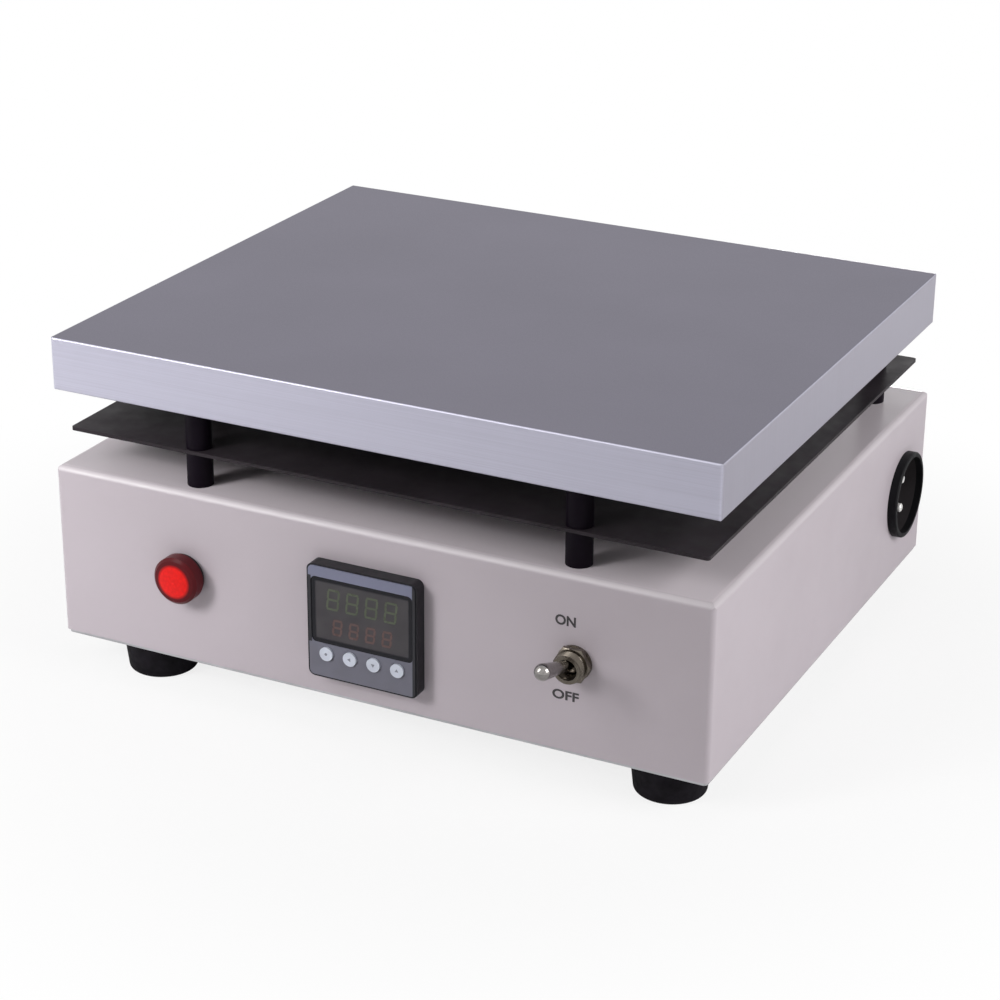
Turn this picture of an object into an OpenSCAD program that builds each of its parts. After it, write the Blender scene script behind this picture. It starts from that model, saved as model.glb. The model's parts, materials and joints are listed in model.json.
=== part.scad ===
// Bench hot plate with a digital temperature controller.
// A thick aluminium plate stands on posts over a heat shield and a sheet-metal casing.
// Millimetres, Z up. The origin is on the floor, under the middle of the whole object's box.

/* [Top plate] */
// Width of the heated plate
plate_w = 300; // [270:1:340]
// Depth of the heated plate
plate_d = 254; // [240:1:300]
// Thickness of the heated plate
plate_t = 23; // [18:0.5:30]
// Rounding of the plate's edges
plate_edge_r = 0.8; // [0.4:0.1:2]

/* [Casing] */
// How far each side of the casing stands inside the plate's side
casing_set_in = 0.2; // [0:0.1:6]
// How far the casing's front and back stand past the plate
casing_past = 1.5; // [0:0.5:6]
// Height of the casing with its base plate
casing_h = 78; // [76:1:100]
// Thickness of the casing's sheet
sheet_t = 1.2; // [0.8:0.1:1.6]
// Outside radius of the folds round the casing's top
fold_r = 3; // [2:0.5:5]
// Outside radius of the casing's upright corners
corner_r = 2; // [1.7:0.1:4]
// Width of the flange turned in round the casing's foot
flange_w = 10; // [8:0.5:11]
// Thickness of the base plate
base_t = 1.5; // [1:0.1:2]
// How far the base plate's edge stands inside the casing
base_set_in = 0.8; // [0.2:0.1:2]

/* [Posts and heat shield] */
// Length of the posts between the casing and the shield
lower_post_h = 15; // [10:0.5:25]
// Length of the posts between the shield and the plate
upper_post_h = 17; // [14:0.5:30]
// Outside diameter of the posts
post_d = 11; // [10:0.5:12]
// Diameter of the studs inside the posts
stud_d = 6; // [5:0.5:6.5]
// Distance between the two front posts
front_post_gap = 173; // [140:1:200]
// How far the two front posts stand to the right of the plate's middle
front_post_shift = 1.7; // [0:0.1:3]
// From the plate's front to the middle of a front post
front_post_in = 9.7; // [9:0.1:16]
// From the plate's side to the middle of a rear post
rear_post_side_in = 19.5; // [14:0.5:24]
// From the plate's back to the middle of a rear post
rear_post_in = 22; // [14:0.5:24]
// Thickness of the heat shield
shield_t = 1.5; // [1:0.1:2.5]
// How far the shield's sides stand inside the plate's sides
shield_side_in = 5.5; // [3:0.5:8]
// How far the shield's front and back stand inside the plate
shield_front_in = 3.5; // [2:0.5:4.5]

/* [Heating element] */
// Diameter of the element's sheath
element_d = 8; // [6:0.5:9]
// Number of there-and-back loops of the element
element_loops = 3; // [2:1:3]
// From the plate's side to the end of a straight run
element_side_in = 60; // [54:1:80]
// From the plate's front to the first run
element_front_in = 52; // [50:1:70]
// Radius of the bend where each end turns down
leg_bend_r = 12; // [10:1:16]

/* [Feet] */
// Height of a foot
foot_h = 15; // [11:0.5:25]
// Diameter of a foot where it meets the base plate
foot_d = 33; // [26:1:35]
// Diameter of a foot on the floor
foot_floor_d = 30; // [22:1:32]
// From the casing's left side to the middle of a left foot
foot_left_in = 37.5; // [20:0.5:45]
// From the casing's right side to the middle of the front right foot
foot_right_in = 23; // [20:0.5:45]
// From the casing's right side to the middle of the rear right foot
foot_rear_right_in = 36; // [20:0.5:45]
// From the casing's front or back to the middle of a foot
foot_front_in = 18.5; // [17.5:0.5:30]

/* [Pilot lamp] */
// Place of the lamp to the right of the casing's middle
lamp_x = -87.3; // [-110:0.1:-62]
// From the casing's top down to the lamp's axis
lamp_drop = 37.8; // [30:0.1:42]
// Diameter of the lamp's lens
lamp_d = 20.8; // [16:0.2:22]
// How far the lens stands out of the front
lamp_out = 9.2; // [8:0.2:16]

/* [Controller] */
// Place of the controller to the right of the casing's middle
controller_x = 0.8; // [-15:0.1:15]
// From the casing's top down to the controller's middle
controller_drop = 41.3; // [37:0.1:44]
// Width and height of the bezel
controller_w = 50.5; // [46:0.5:54]
// How far the bezel stands out of the front
controller_out = 6.4; // [6:0.2:12]
// Depth of the controller's case behind the front
controller_depth = 70; // [50:1:90]
// From the bezel's upper edge to the display window
window_top_in = 5.2; // [4:0.1:8]
// From the bezel's lower edge to the window
window_rise = 15.5; // [15.3:0.1:18]
// From the bezel's side to the window
window_side_in = 1.7; // [1.2:0.1:4]
// Diameter of a key
key_d = 6; // [5:0.1:6.4]
// From the bezel's side to the middle of the outer keys
key_side_in = 8.9; // [8.5:0.1:12]
// From the bezel's lower edge to the keys' middle
key_rise = 11.3; // [9:0.1:11.5]
// How far a key stands out of the face
key_out = 0.8; // [0.7:0.1:1.5]
// Travel of a key
key_travel = 0.6; // [0.3:0.1:0.6]

/* [Toggle switch] */
// Place of the switch to the right of the casing's middle
toggle_x = 92.4; // [70:0.1:105]
// From the casing's top down to the switch's axis
toggle_drop = 37; // [34:0.5:40]
// Diameter of the threaded bushing
bush_d = 12; // [11.5:0.5:13]
// How far the bushing stands out of the front
bush_out = 8; // [7:0.5:9]
// Length of the lever from its pivot to its tip
lever_l = 32; // [22:0.5:34]
// Diameter of the lever near its tip
lever_tip_d = 6.8; // [5:0.2:8]
// Tilt of the lever from straight out, in degrees
lever_angle = 18; // [12:0.5:19]

/* [Mains inlet] */
// From the casing's back to the inlet's axis
inlet_in = 30.5; // [25:0.5:50]
// From the casing's top down to the inlet's axis
inlet_drop = 39.5; // [38:0.5:43]
// Diameter of the inlet's flange
inlet_d = 39.4; // [38:0.2:42]
// Thickness of the inlet's flange
inlet_out = 4; // [2:0.2:6]
// Depth of the recess for the plug
recess_depth = 15; // [10:0.5:18]
// Diameter of a contact pin
pin_d = 4; // [3:0.1:5]
// Distance between the two pins
pin_gap = 14; // [12:0.5:16]

/* [Hidden] */
$fn = 48;
HEX = 6;

// Clearances, and the overrun of every cut
cut = 1;
thread_gap = 0.05;
fit_gap = 0.2;
run_gap = 0.05;

// Heights of the stack, from the floor up
base_z = foot_h;
shell_z = base_z + base_t;
floor_z = shell_z + sheet_t;
casing_top = base_z + casing_h;
shield_z = casing_top + lower_post_h;
shield_top = shield_z + shield_t;
plate_z = shield_top + upper_post_h;

// Widths and depths that follow the plate
casing_w = plate_w - 2 * casing_set_in;
casing_d = plate_d + 2 * casing_past;
front_y = -casing_d / 2;
side_x = casing_w / 2;
shell_h = casing_top - shell_z;
shield_w = plate_w - 2 * shield_side_in;
shield_d = plate_d - 2 * shield_front_in;
plate_corner_r = 2 * plate_edge_r;
shield_corner_r = shield_t;

// Screws of the base plate, countersunk into it, and of the feet
screw_d = 4;
sunk_land = 0.1;
sunk_head_h = base_t - sunk_land;
screw_head_d = 7.6;
screw_head_h = 2.4;
screw_slot_w = 1;
screw_slot_deep = 1.2;
screw_reach = 6;
base_screw_in = 78.5;
base_screw_x = side_x - base_screw_in;
base_screw_y = casing_d / 2 - base_screw_in;
foot_nut_af = 7;
foot_nut_t = 3.2;
foot_nut_past = 1;

// Places of the posts
front_post_x = front_post_gap / 2;
front_post_y = plate_d / 2 - front_post_in;
rear_post_x = plate_w / 2 - rear_post_side_in;
rear_post_y = plate_d / 2 - rear_post_in;
post_spots = [[front_post_shift - front_post_x, -front_post_y],
    [front_post_shift + front_post_x, -front_post_y],
    [-rear_post_x, rear_post_y], [rear_post_x, rear_post_y]];
stud_hole_d = stud_d + 2 * fit_gap;
stud_thread_deep = 12;
stud_past = 2;
stud_washer_d = 12;
stud_washer_t = 1.4;
stud_nut_af = 10;
stud_nut_t = 5;

// Heating element: runs lie in a groove in the plate's underside
element_runs = 2 * element_loops;
element_run_l = plate_w - 2 * element_side_in;
element_pitch = (plate_d - 2 * element_front_in) / (element_runs - 1);
element_z = plate_z + element_d / 2 + fit_gap;
groove_w = element_d + 2 * fit_gap;
leg_x = -element_run_l / 2 - leg_bend_r;
leg_y = plate_d / 2 - element_front_in;
leg_below_casing_top = 14;
leg_end_z = casing_top - leg_below_casing_top;
element_pin_d = 3.2;
element_pin_l = 8;
element_pin_z = leg_end_z - element_pin_l;
lead_hole_gap = 3;
lead_hole_d = element_d + 2 * lead_hole_gap;
bush_wall = 1.8;
bush_flange_lap = 2.2;
bush_shank_d = element_d + 2 * bush_wall;
bush_flange_d = bush_shank_d + 2 * bush_flange_lap;
bush_flange_t = 2;
bush_shank_l = 5;

// Cover that holds the element in its groove
cover_t = 1.5;
cover_side_in = 25;
cover_front_in = 32;
cover_corner_r = 6;
cover_w = plate_w - 2 * cover_side_in;
cover_d = plate_d - 2 * cover_front_in;
cover_z = plate_z - cover_t;
cover_screw_d = 5;
cover_screw_in = 8;
cover_screw_deep = 8;
cover_screw_head_d = 9;
cover_screw_head_h = 3;
cover_screw_x = element_run_l / 3;
cover_screw_y = cover_d / 2 - cover_screw_in;
leg_slot_gap = 1;
leg_slot_d = element_d + 2 * leg_slot_gap;

// Temperature sensor in the middle of the plate, with its lead to the controller
sensor_d = 5;
sensor_deep = 14;
sensor_below_cover = 7;
sensor_thread_d = 8;
sensor_thread_deep = 5;
sensor_hex_af = 10;
sensor_hex_t = 5;
sensor_end_z = cover_z - sensor_below_cover;
sensor_lead_d = 3.4;
sensor_hole_d = 9;
sensor_bend_r = 12;
grommet_flange_d = 12;
grommet_flange_t = 1.4;

// Feet
foot_round_r = 2;
foot_recess_d = 10;
foot_recess_h = 6;
foot_y = casing_d / 2 - foot_front_in;
foot_left_x = foot_left_in - side_x;
foot_right_x = side_x - foot_right_in;
foot_rear_right_x = side_x - foot_rear_right_in;
foot_spots = [[foot_left_x, -foot_y], [foot_right_x, -foot_y],
    [foot_left_x, foot_y], [foot_rear_right_x, foot_y]];

// Vents
vent_w = 3.2;
vent_l = 28;
vent_pitch = 9;
vent_count = 9;
rear_vent_rise = 26;
base_vent_y = 40;

// Pilot lamp
lamp_z = casing_top - lamp_drop;
lamp_collar_t = 2;
lamp_collar_in = 0.8;
lamp_collar_d = lamp_d - 2 * lamp_collar_in;
lamp_collar_lap = 1.5;
lamp_barrel_d = lamp_collar_d - 2 * lamp_collar_lap;
lamp_barrel_l = 22;
lamp_edge = 1.2;
lamp_lens_wall = 1.4;
lamp_crown = 1;
lamp_nut_wall = 2.5;
lamp_nut_af = lamp_barrel_d + 2 * lamp_nut_wall;
lamp_nut_t = 4;
lamp_tab_w = 4.8;
lamp_tab_t = 0.8;
lamp_tab_l = 8;
lamp_tab_x = 3.5;

// Controller
controller_z = casing_top - controller_drop;
bezel_corner_r = 3;
bezel_wall = 2;
bezel_front_t = 2;
overlay_t = 0.4;
overlay_in = 0.8;
overlay_corner_r = bezel_corner_r - overlay_in;
bezel_z = controller_out - overlay_t;
bezel_back_z = bezel_z - bezel_front_t;
cavity_w = controller_w - 2 * bezel_wall;
cavity_corner_r = bezel_corner_r - bezel_wall;
window_w = controller_w - 2 * window_side_in;
window_h = controller_w - window_top_in - window_rise;
window_t = 0.8;
window_corner_r = 2.5;
window_y = (window_rise - window_top_in) / 2;
window_lip = 2;
key_count = 4;
key_pitch = (controller_w - 2 * key_side_in) / (key_count - 1);
key_y = key_rise - controller_w / 2;
key_hole_d = key_d + 2 * fit_gap;
key_flange_lap = 0.7;
key_flange_d = key_d + 2 * key_flange_lap;
key_flange_t = 1;
key_stem_d = 3;
key_stem_l = 0.7;
key_rest_gap = 0.1;
key_flange_z = bezel_back_z - key_rest_gap - key_flange_t;
key_stem_end = key_flange_z - key_stem_l;
tact_w = 5;
tact_h = 1.2;
tact_top = key_stem_end - key_travel - key_rest_gap;
board_t = 1.6;
board_top = tact_top - tact_h;
board_z = board_top - board_t;
case_in = 2.9;
case_w = controller_w - 2 * case_in;
case_wall = 1.5;
case_corner_r = 1.5;
board_w = case_w - 2 * case_wall - 2 * fit_gap;
board_ledge = 1;
display_in = 0.5;
display_w = board_w - 2 * display_in;
aperture_w = display_w + 2 * fit_gap;
aperture_h = window_h - 2 * window_lip;
cutout_w = case_w + 2 * fit_gap;
cutout_corner_r = case_corner_r + fit_gap;
collar_lap = 4;
collar_w = controller_w + 2 * collar_lap;
collar_t = 8;
case_terminal_in = 3;
case_terminal_w = case_w - 2 * case_terminal_in;
case_terminal_t = 8;
case_end_y = front_y + controller_depth;
lead_end_y = case_end_y + case_terminal_t;
lead_end_z = controller_z + controller_w / 4;

// Toggle switch
toggle_z = casing_top - toggle_drop;
bush_in = 10;
bush_hole_d = bush_d + 2 * fit_gap;
pivot_out = 2;
ball_d = 7;
ball_band = 1.5;
lever_neck_d = 4;
lever_tail_d = 2.4;
lever_tail_l = 8;
lever_grip_start = 4;
swing_gap = 0.4;
toggle_pin_d = 1.6;
toggle_pin_in = 0.5;
toggle_pin_l = bush_d - 2 * toggle_pin_in;
toggle_washer_lap = 1.4;
toggle_washer_d = bush_d + 2 * toggle_washer_lap;
toggle_washer_t = 1;
toggle_nut_wall = 1;
toggle_nut_af = bush_d + 2 * toggle_nut_wall;
toggle_nut_t = 2.5;
toggle_frame_t = 1.2;
toggle_body_w = 18;
toggle_body_h = 33;
toggle_body_l = 20;
toggle_body_z = -bush_in - toggle_frame_t;
toggle_tab_h = 12;
toggle_tab_y = 8;
toggle_tab_w = 6;
toggle_tab_t = 1;
toggle_tab_l = 8;
toggle_end_y = front_y - toggle_body_z + toggle_body_l + toggle_tab_l;
mouth_r = (bush_out - pivot_out) * tan(lever_angle) + lever_neck_d / 2 / cos(lever_angle)
    + swing_gap;
tail_r = lever_tail_l * tan(lever_angle) + lever_tail_d / 2 / cos(lever_angle) + swing_gap;
band_r = ball_d / 2 + run_gap;

// Mains inlet
inlet_y = casing_d / 2 - inlet_in;
inlet_z = casing_top - inlet_drop;
inlet_flange_lap = 1.2;
inlet_barrel_d = inlet_d - 2 * inlet_flange_lap;
inlet_wall = 0.9;
recess_d = inlet_barrel_d - 2 * inlet_wall;
inlet_rim_r = 0.8;
inlet_floor_t = 4;
inlet_barrel_l = recess_depth - inlet_out + inlet_floor_t;
pin_below_rim = 3.5;
pin_out = recess_depth - pin_below_rim;
pin_tip_r = 0.5;
pin_tail = 6;
pin_shoulder = 0.5;
pin_tail_d = pin_d - 2 * pin_shoulder;
pin_base_z = inlet_out - recess_depth;
pin_tail_z = -inlet_barrel_l - pin_tail;
inlet_nut_lap = 2;
inlet_nut_d = inlet_d + 2 * inlet_nut_lap;
inlet_nut_t = 5;
earth_clip_w = 6;
earth_clip_t = 1;
earth_clip_l = 10;
earth_clip_x = sqrt(pow(recess_d / 2, 2) - pow(earth_clip_w / 2, 2)) - run_gap;

// Parts on the base plate and the leads to them
block_w = 22;
block_l = 46;
block_h = 20;
block_groove = 4;
lead_d = 3.2;
lead_bend_r = 8;
relay_w = 45;
relay_lead_gap = 13.3;
relay_rear_in = 110.5;
relay_x = toggle_x - lead_d / 2 - relay_lead_gap - relay_w / 2;
relay_y = casing_d / 2 - relay_rear_in;
relay_l = 58;
relay_h = 28;
relay_step_h = 10;
relay_step_l = 12;
relay_screw_y = 23;
block_screw_y = 17;
stand_hole_deep = 8;
heater_lead_z = shell_z + block_h / 2;
earth_side_in = 43.5;
earth_rear_in = 66.5;
earth_x = side_x - earth_side_in;
earth_y = casing_d / 2 - earth_rear_in;
earth_l = 16;
base_screw_spots = [
    for (sx = [-1, 1], sy = [-1, 1])
        [sx * base_screw_x, sy * (casing_d / 2 - sheet_t - flange_w / 2)],
    for (sx = [-1, 1], sy = [-1, 1])
        [sx * (casing_w / 2 - sheet_t - flange_w / 2), sy * base_screw_y],
    for (sy = [-1, 1]) [relay_x, relay_y + sy * relay_screw_y],
    for (sy = [-1, 1]) [leg_x, sy * block_screw_y]];

// The whole object's box, which the origin is centred on
lever_reach = pivot_out + (lever_l - lever_tip_d / 2) * cos(lever_angle) + lever_tip_d / 2;
box_left = -max(plate_w, casing_w) / 2;
box_right = max(plate_w / 2, side_x + inlet_out);
box_front = front_y - max(lever_reach, lamp_out, controller_out + key_out);
box_back = max(plate_d, casing_d) / 2;
centre_x = -(box_left + box_right) / 2;
centre_y = -(box_front + box_back) / 2;

// Colours
alu = "#c9c9d2";
steel = "#a9a9ad";
bright = "#d6d6da";
black = "#26232a";
paint = "#bdb5bd";
brass = "#c8a552";
red = "#d92b2b";

// Helpers

// Moves a piece from the plate's middle to the frame of the whole object
module placed() {
    translate([centre_x, centre_y, 0]) children();
}

// Frame of a piece on the front: local Z points out of the front, local Y up
module on_front(x, z) {
    placed() translate([x, front_y, z]) rotate([90, 0, 0]) children();
}

// Frame of a piece on the right side: local Z points out of the side, local Y up
module on_side(y, z) {
    placed() translate([side_x, y, z]) rotate([90, 0, 90]) children();
}

module at_spots(spots) {
    for (spot = spots) translate([spot[0], spot[1], 0]) children();
}

module round_rect(w, d, r) {
    square([w, d - 2 * r], center = true);
    square([w - 2 * r, d], center = true);
    for (sx = [-1, 1], sy = [-1, 1]) translate([sx * (w / 2 - r), sy * (d / 2 - r)]) circle(r);
}

// A section with rounded upper corners, standing on the X axis
module arched(w, h, r) {
    translate([-w / 2, 0]) square([w, h - r]);
    translate([r - w / 2, 0]) square([w - 2 * r, h]);
    for (sx = [-1, 1]) translate([sx * (w / 2 - r), h - r]) circle(r);
}

// A folded box: upright corners of one radius, folds round the top of another
module folded_box(w, d, h, fold, corner) {
    intersection() {
        linear_extrude(h) round_rect(w, d, corner);
        rotate([90, 0, 0]) linear_extrude(d + 2 * cut, center = true) arched(w, h, fold);
        rotate([90, 0, 90]) linear_extrude(w + 2 * cut, center = true) arched(d, h, fold);
    }
}

module slot(l, w, h) {
    linear_extrude(h) {
        square([l, w], center = true);
        for (sx = [-1, 1]) translate([sx * l / 2, 0]) circle(d = w);
    }
}

module ring(outer_d, inner_d, h) {
    difference() {
        cylinder(d = outer_d, h = h);
        translate([0, 0, -cut]) cylinder(d = inner_d, h = h + 2 * cut);
    }
}

// A hexagon nut with its corners bevelled at both faces
module hex_nut(af, bore_d, h) {
    corner_d = af / cos(30);
    bevel_h = (corner_d - af) / 2 * tan(30);
    difference() {
        intersection() {
            cylinder(d = corner_d, h = h, $fn = HEX);
            rotate_extrude()
                polygon([[0, 0], [af / 2, 0], [corner_d / 2, bevel_h],
                    [corner_d / 2, h - bevel_h], [af / 2, h], [0, h]]);
        }
        translate([0, 0, -cut]) cylinder(d = bore_d, h = h + 2 * cut);
    }
}

// A pan-head screw pointing up, with its head under the XY plane and a cross recess
module pan_screw(d, head_d, head_h, l) {
    difference() {
        union() {
            cylinder(d = d, h = l);
            translate([0, 0, -head_h / 2]) cylinder(d = head_d, h = head_h / 2);
            translate([0, 0, -head_h]) cylinder(d1 = head_d - head_h, d2 = head_d, h = head_h / 2);
        }
        cross_recess(head_d, -head_h);
    }
}

// A countersunk screw pointing up, with its head's face in the XY plane and a cross recess
module sunk_screw(d, head_h, l) {
    head_d = d + 2 * head_h;
    difference() {
        union() {
            cylinder(d = d, h = l);
            cylinder(d1 = head_d, d2 = d, h = head_h);
        }
        cross_recess(head_d, 0);
    }
}

// The recess of a screw's head, whose face is at z
module cross_recess(head_d, z) {
    for (turn = [0, 90]) rotate([0, 0, turn])
        translate([-head_d / 4, -screw_slot_w / 2, z - cut])
            cube([head_d / 2, screw_slot_w, screw_slot_deep + cut]);
}

// The seat of a countersunk screw, in a plate whose underside is the XY plane
module screw_seat(d, head_h) {
    cylinder(d1 = d + 2 * (head_h + cut), d2 = d, h = head_h + cut);
}

// Sweeps its 2D child along the element's runs and return bends
module serpentine() {
    for (i = [0:element_runs - 1]) translate([0, i * element_pitch - leg_y, 0])
        rotate([90, 0, 90]) linear_extrude(element_run_l, center = true) children();
    for (i = [0:element_runs - 2]) {
        side = i % 2 == 0 ? 1 : -1;
        translate([side * element_run_l / 2, (i + 0.5) * element_pitch - leg_y, 0])
            rotate([0, 0, -90 * side]) rotate_extrude(angle = 180)
                translate([element_pitch / 2, 0]) children();
    }
}

// A round lead that drops from z_top and turns to run along Y to y_end
module dropped_lead(y, z_top, z_run, y_end, d, bend_r) {
    way = y_end > y ? 1 : -1;
    translate([0, y, z_run + bend_r]) cylinder(d = d, h = z_top - z_run - bend_r);
    translate([0, y + way * bend_r, z_run + bend_r])
        rotate([90, 0, 90]) rotate([0, 0, way > 0 ? 180 : 270])
            rotate_extrude(angle = 90) translate([bend_r, 0]) circle(d = d);
    translate([0, y + way * bend_r, z_run]) rotate([-90 * way, 0, 0])
        cylinder(d = d, h = abs(y_end - y) - bend_r);
}

// Plate, heater and sensor

module top_plate() {
    color(alu) placed() difference() {
        translate([0, 0, plate_z]) intersection() {
            linear_extrude(plate_t) round_rect(plate_w, plate_d, plate_corner_r);
            translate([0, 0, plate_t / 2]) rotate([90, 0, 0])
                linear_extrude(plate_d + 2 * cut, center = true)
                    round_rect(plate_w, plate_t, plate_edge_r);
            translate([0, 0, plate_t / 2]) rotate([90, 0, 90])
                linear_extrude(plate_w + 2 * cut, center = true)
                    round_rect(plate_d, plate_t, plate_edge_r);
        }
        translate([0, 0, plate_z]) serpentine()
            translate([-groove_w / 2, -cut]) square([groove_w, groove_w + cut]);
        for (y = [-leg_y, leg_y])
            translate([leg_x - element_d / 2 - fit_gap, y - groove_w / 2, plate_z - cut])
                cube([leg_bend_r + groove_w, groove_w, groove_w + cut]);
        at_spots(post_spots) translate([0, 0, plate_z - cut])
            cylinder(d = stud_d + 2 * thread_gap, h = stud_thread_deep + cut);
        cover_screw_places() translate([0, 0, plate_z - cut])
            cylinder(d = cover_screw_d + 2 * thread_gap, h = cover_screw_deep + fit_gap + cut);
        translate([controller_x, 0, plate_z - cut]) {
            cylinder(d = sensor_d + 2 * fit_gap, h = sensor_deep + cut);
            cylinder(d = sensor_thread_d + 2 * thread_gap, h = sensor_thread_deep + fit_gap + cut);
        }
    }
}

module heating_element() {
    color(steel) placed() {
        translate([0, 0, element_z]) serpentine() circle(d = element_d);
        for (y = [-leg_y, leg_y]) {
            translate([-element_run_l / 2, y, element_z - leg_bend_r])
                rotate([90, 0, 0]) rotate([0, 0, 90])
                    rotate_extrude(angle = 90) translate([leg_bend_r, 0]) circle(d = element_d);
            translate([leg_x, y, leg_end_z])
                cylinder(d = element_d, h = element_z - leg_bend_r - leg_end_z);
            translate([leg_x, y, element_pin_z]) cylinder(d = element_pin_d, h = element_pin_l);
        }
    }
}

module cover_screw_places() {
    for (x = [-cover_screw_x, cover_screw_x], y = [-cover_screw_y, 0, cover_screw_y])
        translate([x, y, 0]) children();
}

module heater_cover() {
    color(steel) placed() translate([0, 0, cover_z]) difference() {
        linear_extrude(cover_t) round_rect(cover_w, cover_d, cover_corner_r);
        translate([0, 0, -cut]) {
            for (y = [-leg_y, leg_y]) translate([leg_x + leg_bend_r / 2, y, 0])
                slot(leg_bend_r, leg_slot_d, cover_t + 2 * cut);
            cover_screw_places() cylinder(d = cover_screw_d + 2 * fit_gap, h = cover_t + 2 * cut);
            translate([controller_x, 0, 0])
                cylinder(d = sensor_thread_d + 2 * fit_gap, h = cover_t + 2 * cut);
        }
    }
}

module cover_screws() {
    color(bright) placed() cover_screw_places() translate([0, 0, cover_z])
        pan_screw(cover_screw_d, cover_screw_head_d, cover_screw_head_h,
            cover_t + cover_screw_deep);
}

module sensor_probe() {
    color(bright) placed() translate([controller_x, 0, sensor_end_z])
        cylinder(d = sensor_d, h = plate_z + sensor_deep - sensor_end_z);
}

module sensor_gland() {
    color(brass) placed() translate([controller_x, 0, 0]) difference() {
        union() {
            translate([0, 0, cover_z - sensor_hex_t])
                cylinder(d = sensor_hex_af / cos(30), h = sensor_hex_t, $fn = HEX);
            translate([0, 0, cover_z])
                cylinder(d = sensor_thread_d, h = cover_t + sensor_thread_deep);
        }
        translate([0, 0, cover_z - sensor_hex_t - cut])
            cylinder(d = sensor_d + 2 * thread_gap,
                h = sensor_hex_t + cover_t + sensor_thread_deep + 2 * cut);
    }
}

module sensor_lead() {
    color(bright) placed() translate([controller_x, 0, 0])
        dropped_lead(0, sensor_end_z, lead_end_z, lead_end_y, sensor_lead_d, sensor_bend_r);
}

module sensor_grommet() {
    color(black) placed() translate([controller_x, 0, casing_top]) difference() {
        union() {
            cylinder(d = grommet_flange_d, h = grommet_flange_t);
            translate([0, 0, -sheet_t]) cylinder(d = sensor_hole_d - 2 * run_gap, h = sheet_t);
            translate([0, 0, -sheet_t - grommet_flange_t])
                cylinder(d = grommet_flange_d, h = grommet_flange_t);
        }
        translate([0, 0, -sheet_t - grommet_flange_t - cut])
            cylinder(d = sensor_lead_d + 2 * fit_gap,
                h = sheet_t + 2 * grommet_flange_t + 2 * cut);
    }
}

module lead_bushes() {
    color("#e6e0d2") placed() for (y = [-leg_y, leg_y])
        translate([leg_x, y, casing_top]) difference() {
            union() {
                cylinder(d = bush_flange_d, h = bush_flange_t);
                translate([0, 0, -bush_shank_l]) cylinder(d = bush_shank_d, h = bush_shank_l);
            }
            translate([0, 0, -bush_shank_l - cut])
                cylinder(d = element_d + 2 * fit_gap, h = bush_shank_l + bush_flange_t + 2 * cut);
        }
}

// Posts, studs and heat shield

module heat_shield() {
    color("#2b282c") placed() translate([0, 0, shield_z]) difference() {
        linear_extrude(shield_t) round_rect(shield_w, shield_d, shield_corner_r);
        translate([0, 0, -cut]) {
            at_spots(post_spots) cylinder(d = stud_hole_d, h = shield_t + 2 * cut);
            for (y = [-leg_y, leg_y]) translate([leg_x, y, 0])
                cylinder(d = lead_hole_d, h = shield_t + 2 * cut);
            translate([controller_x, 0, 0]) cylinder(d = sensor_hole_d, h = shield_t + 2 * cut);
        }
    }
}

module lower_post(spot) {
    color(black) placed() translate([spot[0], spot[1], casing_top])
        ring(post_d, stud_hole_d, lower_post_h);
}

module upper_post(spot) {
    color(black) placed() translate([spot[0], spot[1], shield_top])
        ring(post_d, stud_hole_d, upper_post_h);
}

module support_studs() {
    stud_end_z = casing_top - sheet_t - stud_washer_t - stud_nut_t - stud_past;
    color(steel) placed() at_spots(post_spots) translate([0, 0, stud_end_z])
        cylinder(d = stud_d, h = plate_z + stud_thread_deep - stud_end_z);
}

module stud_washers() {
    color(bright) placed() at_spots(post_spots)
        translate([0, 0, casing_top - sheet_t - stud_washer_t])
            ring(stud_washer_d, stud_hole_d, stud_washer_t);
}

module stud_nuts() {
    color(bright) placed() at_spots(post_spots)
        translate([0, 0, casing_top - sheet_t - stud_washer_t - stud_nut_t])
            hex_nut(stud_nut_af, stud_d + 2 * thread_gap, stud_nut_t);
}

// Casing, base plate and feet

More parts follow.
